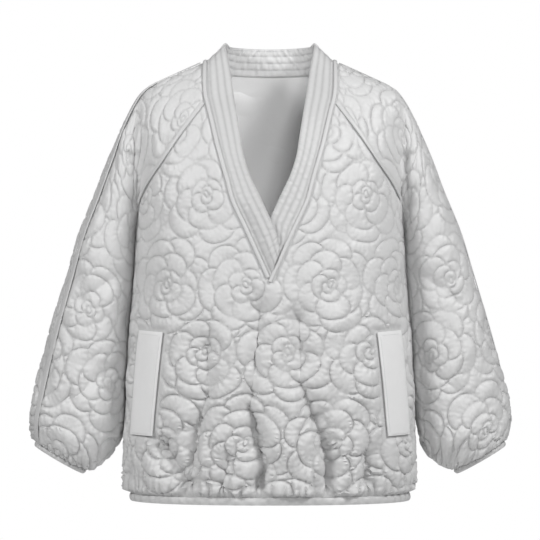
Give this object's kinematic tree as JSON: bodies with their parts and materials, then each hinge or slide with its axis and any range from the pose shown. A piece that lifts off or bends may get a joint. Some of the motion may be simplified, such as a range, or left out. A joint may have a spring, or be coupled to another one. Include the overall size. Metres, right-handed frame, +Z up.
{
  "type": "quilted lounge jacket",
  "caption": "Pale grey quilted pullover jacket with a lapped V neck band, raglan sleeves, slanted welt pockets and gathered, bound hem and cuffs; hollow, as worn.",
  "frame": {"origin": "middle of the neck at the height of the shoulder seams, where the wearer's shoulders hold the jacket up", "axes": "+Z up, -Y towards the front of the jacket, +X towards the wearer's left sleeve"},
  "size_m": [0.7512, 0.2828, 0.7076],
  "materials": {
    "quilted_shell": "quilted satin-faced cloth, light grey",
    "plain_trim": "plain satin-faced cloth, light grey",
    "lining": "smooth lining cloth, light grey"
  },
  "bodies": {
    "root": {"front_panel": "quilted_shell", "back_panel": "quilted_shell", "sleeve_front_right": "quilted_shell", "sleeve_back_right": "quilted_shell", "sleeve_front_left": "quilted_shell", "sleeve_back_left": "quilted_shell", "neck_band_right": "plain_trim", "neck_band_left": "plain_trim", "neck_band_back": "plain_trim", "neck_piping_right": "plain_trim", "neck_piping_left": "plain_trim", "neck_piping_back": "plain_trim", "raglan_strip_front_right": "plain_trim", "raglan_strip_front_left": "plain_trim", "raglan_strip_back_right": "plain_trim", "raglan_strip_back_left": "plain_trim", "overarm_strip_right": "plain_trim", "overarm_strip_left": "plain_trim", "pocket_welt_right": "plain_trim", "pocket_welt_left": "plain_trim", "hem_binding": "plain_trim", "cuff_binding_right": "plain_trim", "cuff_binding_left": "plain_trim", "back_lining": "lining"}
  },
  "joints": []
}
